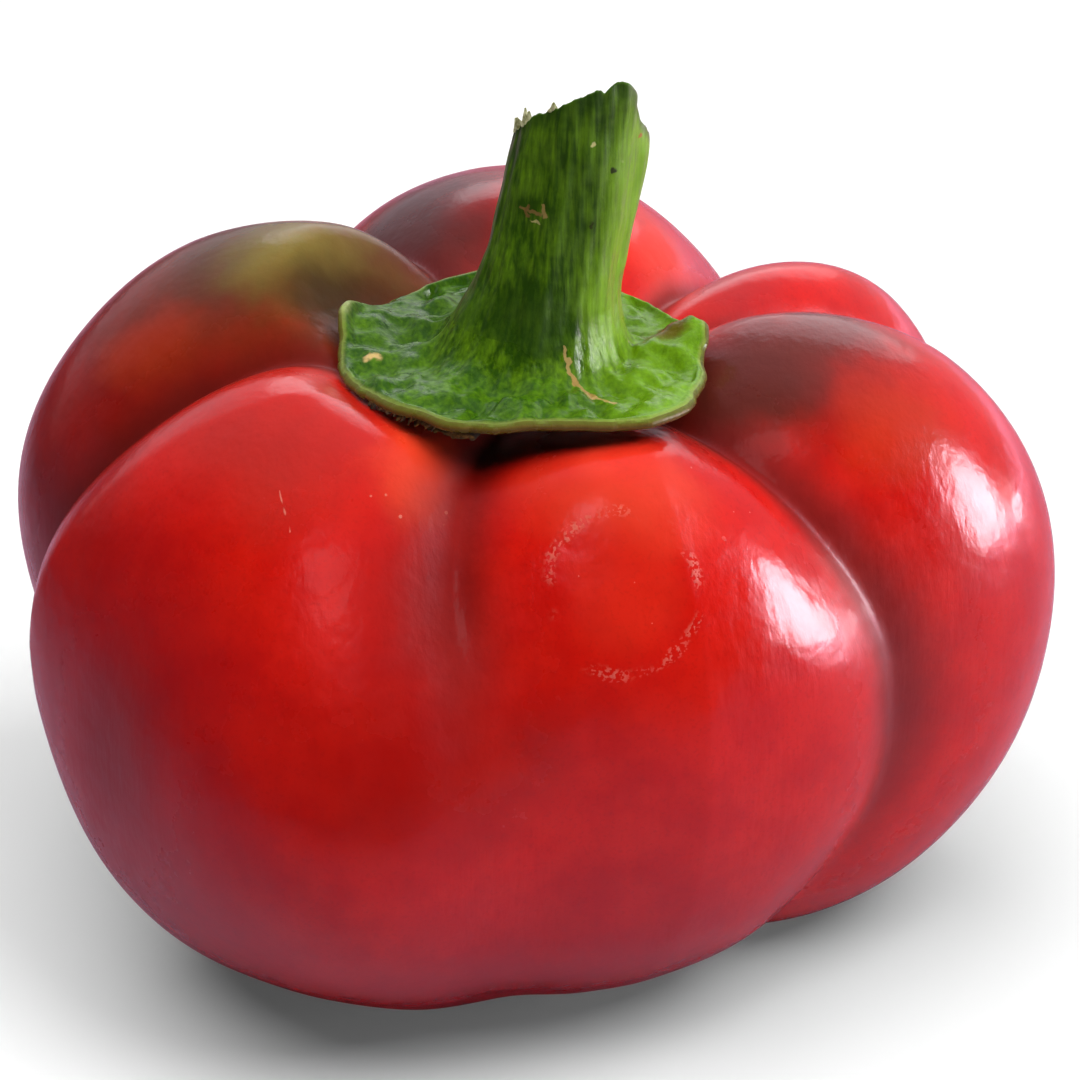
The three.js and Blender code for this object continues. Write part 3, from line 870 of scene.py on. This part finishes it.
# %% A tree that sets slivers along a line
sliver_tree = bpy.data.node_groups.new("Slivers along a line", "GeometryNodeTree")
strew = partial(put, sliver_tree)
face = sliver_tree.interface
face.new_socket("Geometry", in_out="OUTPUT", socket_type="NodeSocketGeometry")
face.new_socket("Geometry", in_out="INPUT", socket_type="NodeSocketGeometry")
SLIVER = {"Shortest": 0.3, "Longest": 1.0, "Thickness": 0.10, "Flatness": 0.5, "Share kept": 0.5,
          "Wildness": 0.5}
for name, value in SLIVER.items():
    face.new_socket(name, in_out="INPUT", socket_type="NodeSocketFloat").default_value = value
face.new_socket("Seed", in_out="INPUT", socket_type="NodeSocketInt")
face.new_socket("Finish", in_out="INPUT", socket_type="NodeSocketMaterial")
given = strew("NodeGroupInput").outputs
sliver = strew("GeometryNodeMeshCone", {
    "Vertices": 5, "Side Segments": 3, "Fill Segments": 1,
    "Radius Top": 0.15 * MM, "Radius Bottom": 1.0 * MM, "Depth": 1.0 * MM})
limits = {2: given["Shortest"], 3: given["Longest"], 8: given["Seed"]}
tall = strew("FunctionNodeRandomValue", limits, data_type="FLOAT")
luck = {6: given["Share kept"], 8: given["Seed"]}
kept = strew("FunctionNodeRandomValue", luck, data_type="BOOLEAN")
deep = strew("MULTIPLY", [given["Thickness"], given["Flatness"]])
size = strew("ShaderNodeCombineXYZ", [given["Thickness"], deep, tall.outputs[1]])
wild = strew("MULTIPLY", [given["Wildness"], -1.0])
least, most = (strew("ShaderNodeCombineXYZ", [value] * 3) for value in (wild, given["Wildness"]))
turns_by = {0: least, 1: most, 8: given["Seed"]}
spin = strew("FunctionNodeRandomValue", turns_by, data_type="FLOAT_VECTOR")
aim = strew("GeometryNodeInputNamedAttribute", {"Name": "aim"}, data_type="FLOAT_VECTOR")
facing = strew("FunctionNodeAlignRotationToVector", {"Vector": aim}, axis="Z")
turned = strew("FunctionNodeRotateRotation", {0: facing, 1: spin}, rotation_space="LOCAL")
placed = strew("GeometryNodeInstanceOnPoints", {
    "Points": given["Geometry"], "Selection": kept.outputs[3], "Instance": sliver,
    "Rotation": turned, "Scale": size})
real = strew("GeometryNodeRealizeInstances", [placed])
finished = strew("GeometryNodeSetMaterial", {"Geometry": real, "Material": given["Finish"]})
strew("NodeGroupOutput", [finished])
print(len(sliver_tree.nodes), "nodes in the slivers' tree")

# %% Two dry finishes
def dry_fibre(name, dark, light, roughness):
    """Dead plant fibre: matt and streaked from dark to light."""
    material, tree, inputs = fresh_material(name)
    streaks = lumps(tree, place_in_mm(tree), 0.5, 3.0)
    colour = tint(tree, between(tree, streaks, 0.35, 0.65), dark, light)
    feed(tree, inputs, {"Base Color": colour, "Roughness": roughness})
    return material


# Fresh pith: pale and moist, so it gives the eye the only near-white bits on the plant.
pale_pith = dry_fibre("Pale pith", "#93934e", "#e3dfae", 0.6)
# Dead calyx skin: thin, brown and matt, like paper.
brown_skin = dry_fibre("Brown papery skin", "#331c0c", "#7a5226", 0.8)


def sliver_line(name, points, aims, finish, inputs):
    """Grows slivers on points, each facing its aim, and returns a plain mesh object."""
    line = bpy.data.meshes.new(name + "_line")
    line.from_pydata([tuple(p * MM + shift) for p in points], [], [])
    aimed = line.attributes.new("aim", "FLOAT_VECTOR", "POINT")
    aimed.data.foreach_set("vector", np.asarray(aims, np.float32).ravel())
    return grown_mesh(sliver_tree, name, {**inputs, "Finish": finish}, line)


# %% Set the slivers
front_left = [spot for spot in range(AROUND) if 178 < bearings[spot] < 250]
on_rim = [rim[spot] * 0.97 + rim.mean(0) * 0.03 - np.array([0, 0, 0.15]) for spot in front_left]
fibres = sliver_line(
    "torn_fibres", on_rim, [(0.3 * ring_x[spot], 0.3 * ring_y[spot], 1.0) for spot in front_left],
    pale_pith, {"Shortest": 0.7, "Longest": 1.9, "Thickness": 0.45, "Flatness": 0.28,
                "Share kept": 0.16, "Wildness": 0.5, "Seed": 6})
under_front = [spot for spot in range(AROUND) if 208 < bearings[spot] < 254]
on_edge = [rounded[-1][spot] - 0.25 * outward[spot] for spot in under_front]
shreds = sliver_line(
    "brown_shreds", on_edge, [(0.8 * ring_x[spot], 0.8 * ring_y[spot], -0.6) for spot in under_front],
    brown_skin, {"Shortest": 0.3, "Longest": 0.8, "Thickness": 0.9, "Flatness": 0.12,
                 "Share kept": 0.6, "Wildness": 0.5, "Seed": 9})
for piece in (fibres, shreds):
    print(piece.name, "has", len(piece.data.vertices), "points")

# %% [markdown]
# ## The table and the light
# The pepper stands on a plain pale table. A tall window on the right gives the hard highlights,
# and its sill a small one low down. A large soft light overhead gives the soft shadow. Apart from
# one dim glow, the room behind the viewer is dark, which keeps the front of the skin a deep red.

# %% The table
table_white, table_tree, table_inputs = fresh_material("White table top")
lay = partial(put, table_tree)
# Matt laminate: it gives the eye nothing but the shadow and a faint red bounce.
# The skin's gloss and its lower side see less of the table than the viewer does: for the gloss the table is
# painted darker in front and on the left, a painted shade that stands in for card flags, and painted
# lighter on the right, a painted light from the window.
table_spot = lay("ShaderNodeSeparateXYZ", [lay("ShaderNodeTexCoord").outputs["Object"]])
table_x, table_y = table_spot.outputs["X"], table_spot.outputs["Y"]
gloss_painted_shade_and_light = lay("MULTIPLY", [between(table_tree, table_y, -0.24, -0.03, 0.0, 0.5),
                           between(table_tree, table_x, -0.22, -0.03, 0.12, 1.0)])
for start, full, brighter in ((0.10, 0.60, 5.0), (0.35, 0.70, 2.4)):
    gloss_painted_shade_and_light = lay("MULTIPLY", [gloss_painted_shade_and_light, between(table_tree, table_x, start, full, 1.0, brighter)])
seen = lay("ShaderNodeLightPath").outputs
# For the matt rays that light the pepper, the table is painted darker on the left: a painted shade.
lit = between(table_tree, table_x, -0.12, 0.06, 0.24, 0.60)
# As the skin's gloss sees it, the table is painted pink, a painted reflection of the red light round a red
# pepper, which shows in the gloss of the pepper's lower half.
GLOSS_PAINTED_PINK = (1.15, 0.66, 0.92)
channels = []
for pink in GLOSS_PAINTED_PINK:
    share, glossy = 0.94, lay("MULTIPLY", [gloss_painted_shade_and_light, pink])
    for ray, other in (("Is Glossy Ray", glossy), ("Is Diffuse Ray", lit)):
        share = lay("ShaderNodeMix", {"Factor": seen[ray], "A": share, "B": other}, data_type="FLOAT")
    channels.append(share)
# A faint glow, seen only by the viewer, is painted on the table as light from the rest of the room that
# reaches into the shadow.
painted_room_glow = lay("MULTIPLY", [seen["Is Camera Ray"], 0.075])
feed(table_tree, table_inputs, {
    "Base Color": lay("ShaderNodeCombineColor", channels), "Roughness": 0.9, "Specular IOR Level": 0.0,
    "Emission Color": (1.0,) * 4, "Emission Strength": painted_room_glow})
TABLE_HALF = 1.6
corners = [(x * TABLE_HALF, y * TABLE_HALF, 0.0) for x, y in ((-1, -1), (1, -1), (1, 1), (-1, 1))]
table_mesh = bpy.data.meshes.new("table_top")
table_mesh.from_pydata(corners, [], [(0, 1, 2, 3)])
table_mesh.materials.append(table_white)
table = add_object("table_top", table_mesh)

# %% The lights
LOOK_AT = Vector((1.5 * MM + shift[0], shift[1], 38.7 * MM))
WINDOW = pointing(-7, 5)
# Name, direction, distance and size in metres, radiance, and what of the pepper sees the light.
LIGHTS = (
    ("window", WINDOW, 1.0, (0.42, 0.66), 18.0, "gloss"),
    ("window_sill", pointing(15, -2), 0.45, (0.10, 0.036), 13.0, "gloss"),
    ("window_glow", WINDOW, 1.0, (0.80, 0.62), 2.2, "matt"),
    ("ceiling", Vector((-0.22, -0.05, 0.97)), 1.3, (1.4, 1.4), 2.6, "matt"),
    ("key", pointing(-24, 58), 1.1, (0.7, 0.7), 5.2, "matt"),
    ("back_wall", pointing(78, 34), 1.5, (1.7, 1.2), 1.1, "gloss"),
    ("front_glow", pointing(-91, 39), 0.8, (0.32, 0.18), 1.9, "gloss"),
)
for name, direction, distance, size, radiance, seen_by in LIGHTS:
    light = bpy.data.lights.new(name, "AREA")
    light.shape = "ELLIPSE"
    light.size, light.size_y = size
    light.energy = radiance * math.pi * size[0] * size[1]
    light.cycles.use_multiple_importance_sampling = seen_by == "gloss"
    lamp = add_object(name, light)
    lamp.location = LOOK_AT + direction.normalized() * distance
    lamp.rotation_euler = direction.to_track_quat("Z", "Y").to_euler()
    lamp.visible_diffuse = seen_by == "matt"
    lamp.visible_glossy = seen_by == "gloss"
print(len(LIGHTS), "lights, each an oval that faces the pepper")

room = bpy.data.worlds.new("Room")
bpy.context.scene.world = room
room.use_nodes = True
room_tree = room.node_tree
outside = put(room_tree, "ShaderNodeTexCoord").outputs["Generated"]
toward = put(room_tree, "ShaderNodeSeparateXYZ", [outside])
lean = put(room_tree, "MULTIPLY_ADD", [toward.outputs["Z"], 0.9, toward.outputs["Y"]])
lean = put(room_tree, "MULTIPLY_ADD", [toward.outputs["X"], 0.25, lean])
glow = between(room_tree, lean, -0.2, 1.1, 0.02, 0.65)
shade = room_tree.nodes["Background"].inputs
feed(room_tree, shade, {"Color": hex_to_linear("#f6f4ff"), "Strength": glow})
# The room shows in the gloss only. The lamps do all the matt lighting, and the skin's own red
# light is kept off the table, which stays a clean white.
room.cycles_visibility.diffuse = False
for piece in (fruit, calyx, stem, fibres, shreds):
    piece.visible_diffuse = False

# %% The camera
# It stands as a person would, looking 30 degrees down from half an arm's length.
CAMERA_HEIGHT, CAMERA_DISTANCE, CAMERA_LENS = 30.0, 226 * MM, 91.4
lens = bpy.data.cameras.new("viewer")
lens.lens, lens.sensor_width = CAMERA_LENS, 36.0
lens.clip_start = 0.01
viewer = add_object("viewer", lens)
viewer.location = LOOK_AT + pointing(270, CAMERA_HEIGHT) * CAMERA_DISTANCE
viewer.rotation_euler = (math.radians(90 - CAMERA_HEIGHT), 0, 0)
bpy.context.scene.camera = viewer
bpy.context.scene.view_settings.view_transform = "Standard"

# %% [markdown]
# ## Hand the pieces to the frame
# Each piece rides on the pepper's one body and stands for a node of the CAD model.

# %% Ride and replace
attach(fruit, "root")
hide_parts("fruit")
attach(calyx, "root")
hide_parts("calyx")
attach(stem, "root")
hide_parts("stem")

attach(fibres, "root")
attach(shreds, "root")
